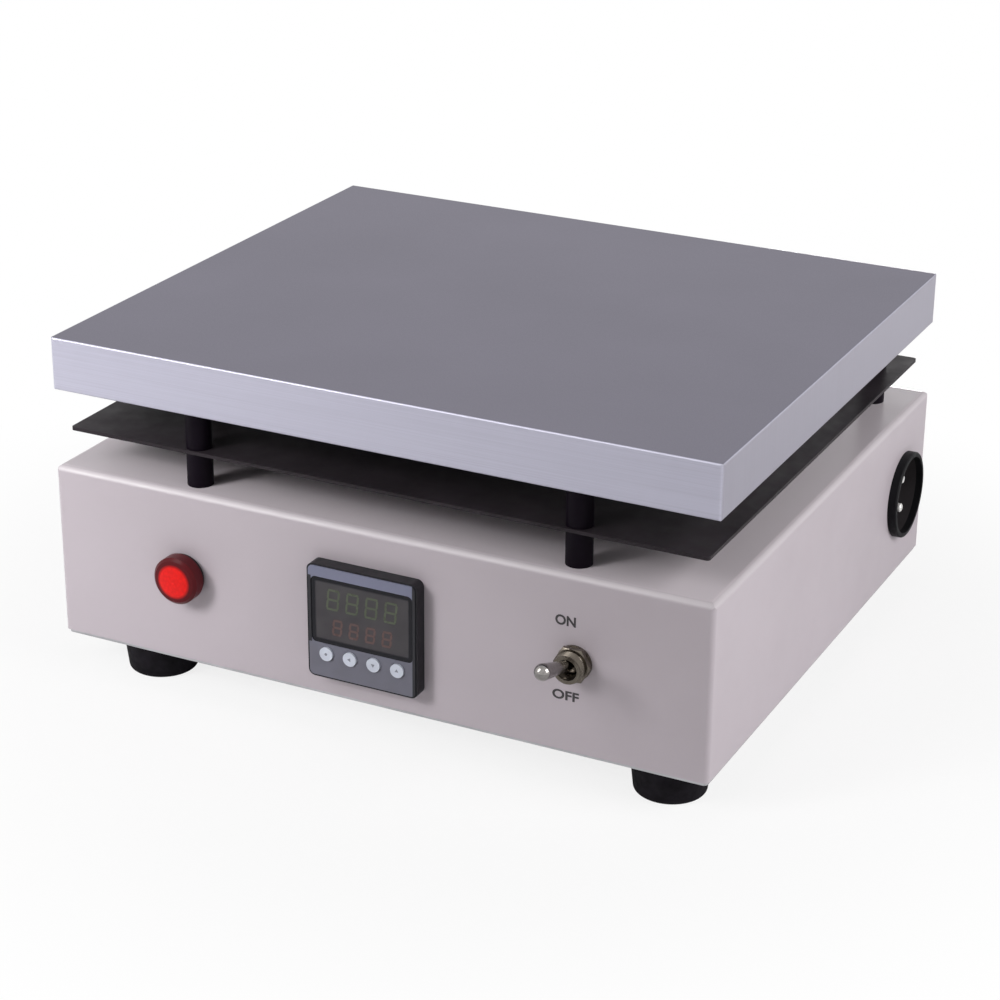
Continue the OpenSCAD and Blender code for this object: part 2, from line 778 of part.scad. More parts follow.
module casing() {
    inner_w = casing_w - 2 * sheet_t;
    inner_d = casing_d - 2 * sheet_t;
    color(paint) placed() difference() {
        translate([0, 0, shell_z]) folded_box(casing_w, casing_d, shell_h, fold_r, corner_r);
        translate([0, 0, floor_z])
            folded_box(inner_w, inner_d, shell_h - 2 * sheet_t, fold_r - sheet_t,
                corner_r - sheet_t);
        translate([0, 0, shell_z - cut]) linear_extrude(sheet_t + 2 * cut)
            round_rect(inner_w - 2 * flange_w, inner_d - 2 * flange_w, fold_r);
        at_spots(post_spots) translate([0, 0, casing_top - sheet_t - cut])
            cylinder(d = stud_hole_d, h = sheet_t + 2 * cut);
        for (y = [-leg_y, leg_y]) translate([leg_x, y, casing_top - sheet_t - cut])
            cylinder(d = bush_shank_d + 2 * fit_gap, h = sheet_t + 2 * cut);
        translate([controller_x, 0, casing_top - sheet_t - cut])
            cylinder(d = sensor_hole_d, h = sheet_t + 2 * cut);
        front_cut(controller_x, controller_z) round_rect(cutout_w, cutout_w, cutout_corner_r);
        front_cut(lamp_x, lamp_z) circle(d = lamp_barrel_d + 2 * fit_gap);
        front_cut(toggle_x, toggle_z) circle(d = bush_hole_d);
        translate([side_x - sheet_t - cut, inlet_y, inlet_z]) rotate([0, 90, 0])
            cylinder(d = inlet_barrel_d + 2 * fit_gap, h = sheet_t + 2 * cut);
        for (i = [0:vent_count - 1])
            translate([(i - (vent_count - 1) / 2) * vent_pitch, casing_d / 2 + cut,
                floor_z + rear_vent_rise])
                rotate([90, 90, 0]) slot(vent_l, vent_w, sheet_t + 2 * cut);
        flange_screw_spots = [for (i = [0:7]) base_screw_spots[i]];
        at_spots(flange_screw_spots) translate([0, 0, shell_z - cut])
            cylinder(d = screw_d + 2 * thread_gap, h = sheet_t + 2 * cut);
    }
}

// Cuts its 2D child through the front sheet
module front_cut(x, z) {
    translate([x, front_y + sheet_t + cut, z]) rotate([90, 0, 0])
        linear_extrude(sheet_t + 2 * cut) children();
}

module base_plate() {
    color(steel) placed() translate([0, 0, base_z]) difference() {
        linear_extrude(base_t)
            round_rect(casing_w - 2 * base_set_in, casing_d - 2 * base_set_in, corner_r);
        translate([0, 0, -cut]) {
            at_spots(base_screw_spots) {
                cylinder(d = screw_d + 2 * fit_gap, h = base_t + 2 * cut);
                screw_seat(screw_d + 2 * thread_gap, sunk_head_h);
            }
            at_spots(foot_spots) cylinder(d = screw_d + 2 * fit_gap, h = base_t + 2 * cut);
            translate([earth_x, earth_y, 0])
                cylinder(d = screw_d + 2 * thread_gap, h = base_t + 2 * cut);
            for (i = [0:vent_count - 1], y = [-base_vent_y, base_vent_y])
                translate([(i - (vent_count - 1) / 2) * vent_pitch - base_vent_y, y, 0])
                    rotate([0, 0, 90]) slot(vent_l, vent_w, base_t + 2 * cut);
        }
    }
}

module base_screws() {
    color(bright) placed() at_spots(base_screw_spots) translate([0, 0, base_z])
        sunk_screw(screw_d, sunk_head_h, base_t + screw_reach);
}

module foot(spot) {
    color("#1c191d") placed() translate([spot[0], spot[1], 0]) difference() {
        rotate_extrude() {
            polygon([[0, 0], [foot_floor_d / 2 - foot_round_r, 0],
                [foot_floor_d / 2, foot_round_r], [foot_d / 2, foot_h], [0, foot_h]]);
            translate([foot_floor_d / 2 - foot_round_r, foot_round_r]) circle(foot_round_r);
        }
        translate([0, 0, -cut]) {
            cylinder(d = foot_recess_d, h = foot_recess_h + cut);
            cylinder(d = screw_d + 2 * fit_gap, h = foot_h + 2 * cut);
        }
    }
}

module foot_screws() {
    color(bright) placed() at_spots(foot_spots) translate([0, 0, foot_recess_h])
        pan_screw(screw_d, screw_head_d, screw_head_h,
            shell_z - foot_recess_h + foot_nut_t + foot_nut_past);
}

module foot_nuts() {
    color(bright) placed() at_spots(foot_spots) translate([0, 0, shell_z])
        hex_nut(foot_nut_af, screw_d + 2 * thread_gap, foot_nut_t);
}

// Pilot lamp

module pilot_body() {
    color(black) on_front(lamp_x, lamp_z) difference() {
        union() {
            cylinder(d = lamp_collar_d, h = lamp_collar_t);
            translate([0, 0, -lamp_barrel_l]) cylinder(d = lamp_barrel_d, h = lamp_barrel_l);
        }
        translate([0, 0, -lamp_barrel_l / 2])
            cylinder(d = lamp_barrel_d - 2 * lamp_lens_wall, h = lamp_barrel_l);
    }
}

// The lens overhangs its collar and has a bevel round a crowned face
module pilot_lens() {
    face_z = lamp_out - lamp_crown;
    edge_z = face_z - lamp_edge;
    crown_base_d = lamp_d - 2 * lamp_edge;
    crown_r = (pow(crown_base_d / 2, 2) + pow(lamp_crown, 2)) / (2 * lamp_crown);
    color(red) on_front(lamp_x, lamp_z) difference() {
        union() {
            translate([0, 0, lamp_collar_t]) cylinder(d = lamp_d, h = edge_z - lamp_collar_t);
            translate([0, 0, edge_z]) cylinder(d1 = lamp_d, d2 = crown_base_d, h = lamp_edge);
            intersection() {
                translate([0, 0, lamp_out - crown_r]) sphere(crown_r);
                translate([0, 0, edge_z]) cylinder(d = crown_base_d, h = lamp_edge + 2 * lamp_crown);
            }
        }
        translate([0, 0, lamp_collar_t - cut])
            cylinder(d = lamp_d - 2 * lamp_lens_wall,
                h = face_z - lamp_collar_t - lamp_lens_wall + cut);
    }
}

module pilot_nut() {
    color(black) on_front(lamp_x, lamp_z) translate([0, 0, -sheet_t - lamp_nut_t])
        hex_nut(lamp_nut_af, lamp_barrel_d + 2 * thread_gap, lamp_nut_t);
}

module pilot_tabs() {
    color(brass) on_front(lamp_x, lamp_z) for (x = [-lamp_tab_x, lamp_tab_x])
        translate([x - lamp_tab_t / 2, -lamp_tab_w / 2, -lamp_barrel_l - lamp_tab_l])
            cube([lamp_tab_t, lamp_tab_w, lamp_tab_l]);
}

// Controller

module controller_bezel() {
    color(black) on_front(controller_x, controller_z) difference() {
        linear_extrude(bezel_z) round_rect(controller_w, controller_w, bezel_corner_r);
        translate([0, 0, -cut]) linear_extrude(bezel_back_z + cut)
            round_rect(cavity_w, cavity_w, cavity_corner_r);
        translate([0, window_y, bezel_z - window_t]) linear_extrude(window_t + cut)
            round_rect(window_w, window_h, window_corner_r);
        translate([0, window_y, bezel_back_z - cut]) linear_extrude(bezel_front_t + 2 * cut)
            square([aperture_w, aperture_h], center = true);
        key_places() translate([0, 0, bezel_back_z - cut])
            cylinder(d = key_hole_d, h = bezel_front_t + 2 * cut);
    }
}

module key_places() {
    for (i = [0:key_count - 1]) translate([key_x(i), key_y, 0]) children();
}

function key_x(i) = (i - (key_count - 1) / 2) * key_pitch;

module controller_overlay() {
    overlay_w = controller_w - 2 * overlay_in;
    color("#6e7083") on_front(controller_x, controller_z) translate([0, 0, bezel_z])
        difference() {
            linear_extrude(overlay_t) round_rect(overlay_w, overlay_w, overlay_corner_r);
            translate([0, 0, -cut]) {
                translate([0, window_y, 0]) linear_extrude(overlay_t + 2 * cut)
                    round_rect(window_w - 2 * fit_gap, window_h - 2 * fit_gap,
                        window_corner_r - fit_gap);
                key_places() cylinder(d = key_hole_d, h = overlay_t + 2 * cut);
            }
        }
}

module controller_window() {
    color("#2c292e") on_front(controller_x, controller_z)
        translate([0, window_y, bezel_z - window_t]) linear_extrude(window_t)
            round_rect(window_w - 2 * run_gap, window_h - 2 * run_gap,
                window_corner_r - run_gap);
}

module controller_display() {
    display_h = aperture_h - 2 * fit_gap;
    color("#3a3438") on_front(controller_x, controller_z)
        translate([-display_w / 2, window_y - display_h / 2, board_top])
            cube([display_w, display_h, bezel_z - window_t - run_gap - board_top]);
}

module controller_board() {
    color("#2f6b46") on_front(controller_x, controller_z) {
        translate([-board_w / 2, -board_w / 2, board_z]) cube([board_w, board_w, board_t]);
        key_places() translate([-tact_w / 2, -tact_w / 2, board_top])
            cube([tact_w, tact_w, tact_h]);
    }
}

// The case reaches into the bezel, and the board rests on a ledge inside it
module controller_case() {
    pocket_w = board_w + 2 * fit_gap;
    hollow_w = board_w - 2 * board_ledge;
    color(black) on_front(controller_x, controller_z) {
        difference() {
            translate([0, 0, -controller_depth])
                linear_extrude(controller_depth + bezel_back_z)
                    round_rect(case_w, case_w, case_corner_r);
            translate([0, 0, case_wall - controller_depth])
                linear_extrude(controller_depth - case_wall + board_z + cut)
                    square([hollow_w, hollow_w], center = true);
            translate([0, 0, board_z]) linear_extrude(bezel_back_z - board_z + cut)
                square([pocket_w, pocket_w], center = true);
        }
        translate([0, 0, -controller_depth - case_terminal_t]) linear_extrude(case_terminal_t)
            square([case_terminal_w, case_terminal_w], center = true);
    }
}

module controller_collar() {
    color(black) on_front(controller_x, controller_z) translate([0, 0, -sheet_t - collar_t])
        linear_extrude(collar_t) difference() {
            round_rect(collar_w, collar_w, bezel_corner_r);
            round_rect(cutout_w, cutout_w, cutout_corner_r);
        }
}

module key(i) {
    color("#d9dce8") on_front(controller_x, controller_z) translate([key_x(i), key_y, 0]) {
        translate([0, 0, key_flange_z]) cylinder(d = key_flange_d, h = key_flange_t);
        translate([0, 0, key_flange_z]) cylinder(d = key_d, h = bezel_z + overlay_t + key_out
            - key_flange_z);
        translate([0, 0, key_stem_end]) cylinder(d = key_stem_d, h = key_flange_z - key_stem_end);
    }
}

// Toggle switch

module toggle_bushing() {
    color(bright) on_front(toggle_x, toggle_z) difference() {
        union() {
            translate([0, 0, -bush_in]) cylinder(d = bush_d, h = bush_in + bush_out);
            translate([-toggle_body_w / 2, -toggle_body_h / 2, toggle_body_z])
                cube([toggle_body_w, toggle_body_h, toggle_frame_t]);
        }
        translate([0, 0, pivot_out]) {
            translate([0, 0, -ball_band]) cylinder(r = band_r, h = 2 * ball_band);
            translate([0, 0, ball_band])
                cylinder(r1 = band_r, r2 = mouth_r, h = bush_out - pivot_out - ball_band);
            translate([0, 0, bush_out - pivot_out]) cylinder(r = mouth_r, h = cut);
            translate([0, 0, -lever_tail_l])
                cylinder(r1 = tail_r, r2 = band_r, h = lever_tail_l - ball_band);
        }
        translate([0, 0, toggle_body_z - cut])
            cylinder(r = tail_r, h = pivot_out - lever_tail_l - toggle_body_z + cut);
        translate([-bush_d, 0, pivot_out]) rotate([0, 90, 0])
            cylinder(d = toggle_pin_d + 2 * run_gap, h = 2 * bush_d);
    }
}

module toggle_pin() {
    color(steel) on_front(toggle_x, toggle_z) translate([-toggle_pin_l / 2, 0, pivot_out])
        rotate([0, 90, 0]) cylinder(d = toggle_pin_d, h = toggle_pin_l);
}

// The lever is drawn tilted up, in the ON position
module toggle_lever() {
    grip_end = lever_l - lever_tip_d / 2;
    color(bright) on_front(toggle_x, toggle_z) translate([0, 0, pivot_out])
        rotate([-lever_angle, 0, 0]) difference() {
            union() {
                sphere(d = ball_d);
                translate([0, 0, -lever_tail_l])
                    cylinder(d = lever_tail_d, h = lever_tail_l);
                cylinder(d = lever_neck_d, h = bush_out);
                translate([0, 0, lever_grip_start])
                    cylinder(d1 = lever_neck_d, d2 = lever_tip_d, h = grip_end - lever_grip_start);
                translate([0, 0, grip_end]) sphere(d = lever_tip_d);
            }
            translate([-ball_d, 0, 0]) rotate([0, 90, 0])
                cylinder(d = toggle_pin_d + 2 * run_gap, h = 2 * ball_d);
        }
}

module toggle_washer() {
    color(bright) on_front(toggle_x, toggle_z)
        ring(toggle_washer_d, bush_d + 2 * thread_gap, toggle_washer_t);
}

module toggle_nut() {
    color(bright) on_front(toggle_x, toggle_z) translate([0, 0, toggle_washer_t])
        hex_nut(toggle_nut_af, bush_d + 2 * thread_gap, toggle_nut_t);
}

module toggle_back_nut() {
    color(steel) on_front(toggle_x, toggle_z) translate([0, 0, -sheet_t - toggle_nut_t])
        hex_nut(toggle_nut_af, bush_d + 2 * thread_gap, toggle_nut_t);
}

module toggle_body() {
    color(black) on_front(toggle_x, toggle_z)
        translate([-toggle_body_w / 2, -toggle_body_h / 2, toggle_body_z - toggle_body_l])
            cube([toggle_body_w, toggle_body_h, toggle_body_l]);
}

module toggle_terminals() {
    color(brass) on_front(toggle_x, toggle_z) for (y = [-toggle_tab_y, toggle_tab_y])
        translate([0, y, toggle_body_z - toggle_body_l - toggle_tab_l]) {
            translate([-toggle_tab_w / 2, -toggle_tab_h / 2, 0])
                cube([toggle_tab_w, toggle_tab_h, toggle_tab_t]);
            translate([-toggle_tab_t / 2, -toggle_tab_h / 2, 0])
                cube([toggle_tab_t, toggle_tab_h, toggle_tab_l]);
        }
}

// Mains inlet

module inlet_body() {
    color(black) on_side(inlet_y, inlet_z) difference() {
        union() {
            rotate_extrude() {
                square([inlet_d / 2 - inlet_rim_r, inlet_out]);
                square([inlet_d / 2, inlet_out - inlet_rim_r]);
                translate([inlet_d / 2 - inlet_rim_r, inlet_out - inlet_rim_r])
                    circle(inlet_rim_r);
            }
            translate([0, 0, -inlet_barrel_l]) cylinder(d = inlet_barrel_d, h = inlet_barrel_l);
        }
        translate([0, 0, pin_base_z]) cylinder(d = recess_d, h = recess_depth + cut);
        for (y = [-pin_gap / 2, pin_gap / 2]) translate([0, y, -inlet_barrel_l - cut])
            cylinder(d = pin_tail_d + 2 * thread_gap, h = inlet_barrel_l + cut);
    }
}

module inlet_pins() {
    color(bright) on_side(inlet_y, inlet_z) {
        for (y = [-pin_gap / 2, pin_gap / 2]) translate([0, y, pin_base_z]) {
            translate([0, 0, pin_tail_z - pin_base_z])
                cylinder(d = pin_tail_d, h = pin_base_z - pin_tail_z);
            cylinder(d = pin_d, h = pin_out - pin_tip_r);
            translate([0, 0, pin_out - pin_tip_r])
                cylinder(d1 = pin_d, d2 = pin_d - 2 * pin_tip_r, h = pin_tip_r);
        }
        translate([-earth_clip_x, -earth_clip_w / 2, pin_base_z])
            cube([earth_clip_t, earth_clip_w, earth_clip_l]);
    }
}

module inlet_nut() {
    color(black) on_side(inlet_y, inlet_z) translate([0, 0, -sheet_t - inlet_nut_t])
        ring(inlet_nut_d, inlet_barrel_d + 2 * thread_gap, inlet_nut_t);
}

// Inside the casing

module terminal_block() {
    color("#e6e0d2") placed() translate([leg_x, 0, shell_z]) difference() {
        translate([-block_w / 2, -block_l / 2, 0]) cube([block_w, block_l, block_h]);
        for (y = [-block_screw_y / 2, block_screw_y / 2])
            translate([-block_w / 2 - cut, y - block_groove / 2, block_h - block_groove])
                cube([block_w + 2 * cut, block_groove, block_groove + cut]);
        for (y = [-block_screw_y, block_screw_y]) translate([0, y, -cut])
            cylinder(d = screw_d + 2 * thread_gap, h = stand_hole_deep + cut);
    }
}

module relay() {
    color("#3a3a42") placed() translate([relay_x, relay_y, shell_z]) difference() {
        translate([-relay_w / 2, -relay_l / 2, 0]) cube([relay_w, relay_l, relay_h]);
        for (side = [-1, 1])
            translate([-relay_w / 2 - cut, side * (relay_l - relay_step_l) / 2
                - (relay_step_l + cut) / 2 + side * cut / 2, relay_h - relay_step_h])
                cube([relay_w + 2 * cut, relay_step_l + cut, relay_step_h + cut]);
        for (y = [-relay_screw_y, relay_screw_y]) translate([0, y, -cut])
            cylinder(d = screw_d + 2 * thread_gap, h = stand_hole_deep + cut);
    }
}

module power_leads() {
    pin_x = side_x + pin_tail_z;
    color("#b03a2e") placed() {
        for (side = [-1, 1]) translate([leg_x, 0, 0])
            dropped_lead(side * leg_y, element_pin_z, heater_lead_z, side * block_l / 2,
                lead_d, lead_bend_r);
        for (z = [inlet_z - pin_gap / 2, inlet_z + pin_gap / 2]) {
            translate([toggle_x + lead_bend_r, inlet_y, z]) rotate([0, 90, 0])
                cylinder(d = lead_d, h = pin_x - toggle_x - lead_bend_r);
            translate([toggle_x + lead_bend_r, inlet_y - lead_bend_r, z]) rotate([0, 0, 90])
                rotate_extrude(angle = 90) translate([lead_bend_r, 0]) circle(d = lead_d);
            translate([toggle_x, toggle_end_y, z]) rotate([-90, 0, 0])
                cylinder(d = lead_d, h = inlet_y - lead_bend_r - toggle_end_y);
        }
    }
}

module earth_stud() {
    color(brass) placed() translate([earth_x, earth_y, 0]) {
        translate([0, 0, base_z]) cylinder(d = screw_d, h = earth_l);
        for (z = [shell_z, shell_z + foot_nut_t]) translate([0, 0, z])
            hex_nut(foot_nut_af, screw_d + 2 * thread_gap, foot_nut_t);
    }
}

top_plate();
heating_element();
heater_cover();
cover_screws();
sensor_probe();
sensor_gland();
sensor_lead();
sensor_grommet();
heat_shield();
lower_post(post_spots[0]);  // lower_post_front_left
lower_post(post_spots[1]);  // lower_post_front_right
lower_post(post_spots[2]);  // lower_post_rear_left
lower_post(post_spots[3]);  // lower_post_rear_right
upper_post(post_spots[0]);  // upper_post_front_left
upper_post(post_spots[1]);  // upper_post_front_right
upper_post(post_spots[2]);  // upper_post_rear_left
upper_post(post_spots[3]);  // upper_post_rear_right
support_studs();
stud_washers();
stud_nuts();
casing();
base_plate();
base_screws();
foot(foot_spots[0]);  // foot_front_left
foot(foot_spots[1]);  // foot_front_right
foot(foot_spots[2]);  // foot_rear_left
foot(foot_spots[3]);  // foot_rear_right
foot_screws();
foot_nuts();
lead_bushes();
pilot_body();
pilot_lens();
pilot_nut();
pilot_tabs();
controller_bezel();
controller_overlay();
controller_window();
controller_case();
controller_collar();
controller_board();
controller_display();
key(0);  // key_1
key(1);  // key_2
key(2);  // key_3
key(3);  // key_4
toggle_bushing();
toggle_body();
toggle_lever();
toggle_nut();
toggle_washer();
toggle_back_nut();
toggle_pin();
toggle_terminals();
inlet_body();
inlet_pins();
inlet_nut();
terminal_block();
relay();
power_leads();
earth_stud();
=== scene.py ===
"""Looks of the bench hot plate: camera, light, materials and the small details on its front."""

import json
import math

import bmesh
import bpy
from mathutils import Matrix, Vector


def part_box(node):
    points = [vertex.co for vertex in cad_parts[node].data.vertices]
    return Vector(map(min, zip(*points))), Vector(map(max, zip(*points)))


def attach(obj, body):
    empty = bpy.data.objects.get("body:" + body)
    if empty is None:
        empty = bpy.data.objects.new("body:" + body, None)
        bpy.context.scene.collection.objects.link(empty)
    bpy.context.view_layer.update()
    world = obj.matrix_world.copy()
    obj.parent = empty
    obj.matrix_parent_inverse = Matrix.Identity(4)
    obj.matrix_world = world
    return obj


MM = 0.001
WHITE = (1, 1, 1, 1)

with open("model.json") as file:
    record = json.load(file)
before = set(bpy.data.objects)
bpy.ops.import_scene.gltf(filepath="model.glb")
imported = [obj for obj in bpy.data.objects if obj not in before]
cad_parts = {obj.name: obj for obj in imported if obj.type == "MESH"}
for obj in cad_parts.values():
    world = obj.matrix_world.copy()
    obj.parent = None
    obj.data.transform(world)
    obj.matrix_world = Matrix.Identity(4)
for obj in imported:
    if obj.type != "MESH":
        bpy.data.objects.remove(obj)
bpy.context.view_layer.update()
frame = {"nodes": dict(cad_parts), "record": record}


def middle(node):
    """The middle of a CAD node's box."""
    lo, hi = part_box(node)
    return (lo + hi) / 2


# Camera

# In degrees, seen from the middle of the plate's top: right of straight ahead, up, and roll
CAM_AZ = 26.344
CAM_EL = 23.096
CAM_ROLL = 0.483
# In plate widths, from that point along the camera's own right, up and back
CAM_OFFSET = (-0.0153, -0.2812, 3.7179)
# In millimetres
CAM_LENS = 93.312
CAM_SENSOR = 36.0
# In metres
CAM_CLIP = 30


def make_camera():
    lo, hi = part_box("top_plate")
    target = Vector(((lo.x + hi.x) / 2, (lo.y + hi.y) / 2, hi.z))
    width = hi.x - lo.x
    az, el, roll = (math.radians(v) for v in (CAM_AZ, CAM_EL, CAM_ROLL))
    back = Vector((math.sin(az) * math.cos(el), -math.cos(az) * math.cos(el), math.sin(el)))
    right = Vector((0, 0, 1)).cross(back).normalized()
    up = back.cross(right)
    x_axis = math.cos(roll) * right + math.sin(roll) * up
    y_axis = math.cos(roll) * up - math.sin(roll) * right
    axes = (x_axis, y_axis, back)
    offset = sum((share * axis for share, axis in zip(CAM_OFFSET, axes)), Vector())
    data = bpy.data.cameras.new("camera")
    data.lens = CAM_LENS
    data.sensor_width = CAM_SENSOR
    data.clip_end = CAM_CLIP
    camera = bpy.data.objects.new("camera", data)
    turn = Matrix(axes).transposed().to_4x4()
    camera.matrix_world = Matrix.Translation(target + width * offset) @ turn
    bpy.context.scene.collection.objects.link(camera)
    bpy.context.scene.camera = camera


# Light, background and floor

AMBIENT = 0.08
LIGHTS = (
    # name, place, aimed at and size in metres, watts, spread in degrees
    ("left", (-0.72, -0.95, 0.62), (-0.42, -0.13, 0.09), 0.4, 1.65, 60),
    ("key", (-0.35, -0.70, 0.75), (-0.03, -0.06, 0.07), 0.45, 2.3, 180),
    ("side", (1.0, -0.05, 0.55), (0.12, 0.0, 0.07), 0.6, 8.1, 180),
    ("back", (-0.2, 1.2, 0.07), (0.0, 0.1, 0.07), 0.16, 6.0, 180),
)

# Half the floor's width, in metres
FLOOR_REACH = 6.0
FLOOR_PAINT = (0.93, 0.93, 0.93, 1)
FLOOR_ROUGH = 0.9
FLOOR_GLOSS = 0.1
# Where the floor starts and ends turning white, in metres from its middle, and how white it is
# before that: as the camera sees it, and as mirrors do
FADE_SEEN = (0.17, 0.36, 0.82)
FADE_MIRRORED = (0.30, 0.60, 0.0)


def path_mix(tree, dim, bright):
    """Mixes two shaders: bright is what camera, mirrors and glass see, dim lights the object."""
    path = tree.nodes.new("ShaderNodeLightPath")
    seen = path.outputs["Is Camera Ray"]
    for name in ("Is Glossy Ray", "Is Transmission Ray"):
        larger = tree.nodes.new("ShaderNodeMath")
        larger.operation = "MAXIMUM"
        tree.links.new(seen, larger.inputs[0])
        tree.links.new(path.outputs[name], larger.inputs[1])
        seen = larger.outputs[0]
    mix = tree.nodes.new("ShaderNodeMixShader")
    tree.links.new(seen, mix.inputs[0])
    tree.links.new(dim.outputs[0], mix.inputs[1])
    tree.links.new(bright.outputs[0], mix.inputs[2])
    return mix


def make_world():
    world = bpy.data.worlds.new("studio")
    world.use_nodes = True
    bpy.context.scene.world = world
    tree = world.node_tree
    dim = tree.nodes["Background"]
    bright = tree.nodes.new("ShaderNodeBackground")
    for shader, strength in ((dim, AMBIENT), (bright, 1)):
        shader.inputs["Color"].default_value = WHITE
        shader.inputs["Strength"].default_value = strength
    mix = path_mix(tree, dim, bright)
    tree.links.new(mix.outputs[0], tree.nodes["World Output"].inputs["Surface"])


def make_lights():
    for name, place, aim, size, watts, spread in LIGHTS:
        data = bpy.data.lights.new(name, "AREA")
        data.size = size
        data.energy = watts
        data.spread = math.radians(spread)
        lamp = bpy.data.objects.new(name, data)
        lamp.location = place
        lamp.rotation_euler = (Vector(aim) - Vector(place)).to_track_quat("-Z", "Y").to_euler()
        bpy.context.scene.collection.objects.link(lamp)


def fade_out(tree, distance, near, far, least):
    """How white the floor is at a distance from its middle: least at near, 1 at far."""
    fade = tree.nodes.new("ShaderNodeMapRange")
    fade.interpolation_type = "SMOOTHSTEP"
    for socket, value in (("From Min", near), ("From Max", far), ("To Min", least)):
        fade.inputs[socket].default_value = value
    tree.links.new(distance, fade.inputs["Value"])
    return fade.outputs["Result"]


def make_floor():
    """A pale floor with a faint shadow near the object, which turns white further out."""
    mesh = bpy.data.meshes.new("floor")
    signs = ((-1, -1), (1, -1), (1, 1), (-1, 1))
    corners = [(x * FLOOR_REACH, y * FLOOR_REACH, 0) for x, y in signs]
    mesh.from_pydata(corners, [], [(0, 1, 2, 3)])
    floor = bpy.data.objects.new("floor", mesh)
    bpy.context.scene.collection.objects.link(floor)
    mat = bpy.data.materials.new("floor")
    mat.use_nodes = True
    tree = mat.node_tree
    matt = tree.nodes["Principled BSDF"]
    matt.inputs["Base Color"].default_value = FLOOR_PAINT
    matt.inputs["Roughness"].default_value = FLOOR_ROUGH
    matt.inputs["Specular IOR Level"].default_value = FLOOR_GLOSS
    white = tree.nodes.new("ShaderNodeEmission")
    coord = tree.nodes.new("ShaderNodeTexCoord")
    length = tree.nodes.new("ShaderNodeVectorMath")
    length.operation = "LENGTH"
    tree.links.new(coord.outputs["Object"], length.inputs[0])
    distance = length.outputs["Value"]
    path = tree.nodes.new("ShaderNodeLightPath")
    share = tree.nodes.new("ShaderNodeMix")
    tree.links.new(path.outputs["Is Camera Ray"], share.inputs[0])
    tree.links.new(fade_out(tree, distance, *FADE_MIRRORED), share.inputs[2])
    tree.links.new(fade_out(tree, distance, *FADE_SEEN), share.inputs[3])
    far = tree.nodes.new("ShaderNodeMixShader")
    tree.links.new(share.outputs[0], far.inputs[0])
    tree.links.new(matt.outputs[0], far.inputs[1])
    tree.links.new(white.outputs[0], far.inputs[2])
    mix = path_mix(tree, matt, far)
    tree.links.new(mix.outputs[0], tree.nodes["Material Output"].inputs["Surface"])
    mesh.materials.append(mat)


# Materials

# The parts of a noise texture's 0 to 1 that cover most and nearly all of its values
NOISE_NARROW = (0.35, 0.65)
NOISE_WIDE = (0.3, 0.7)


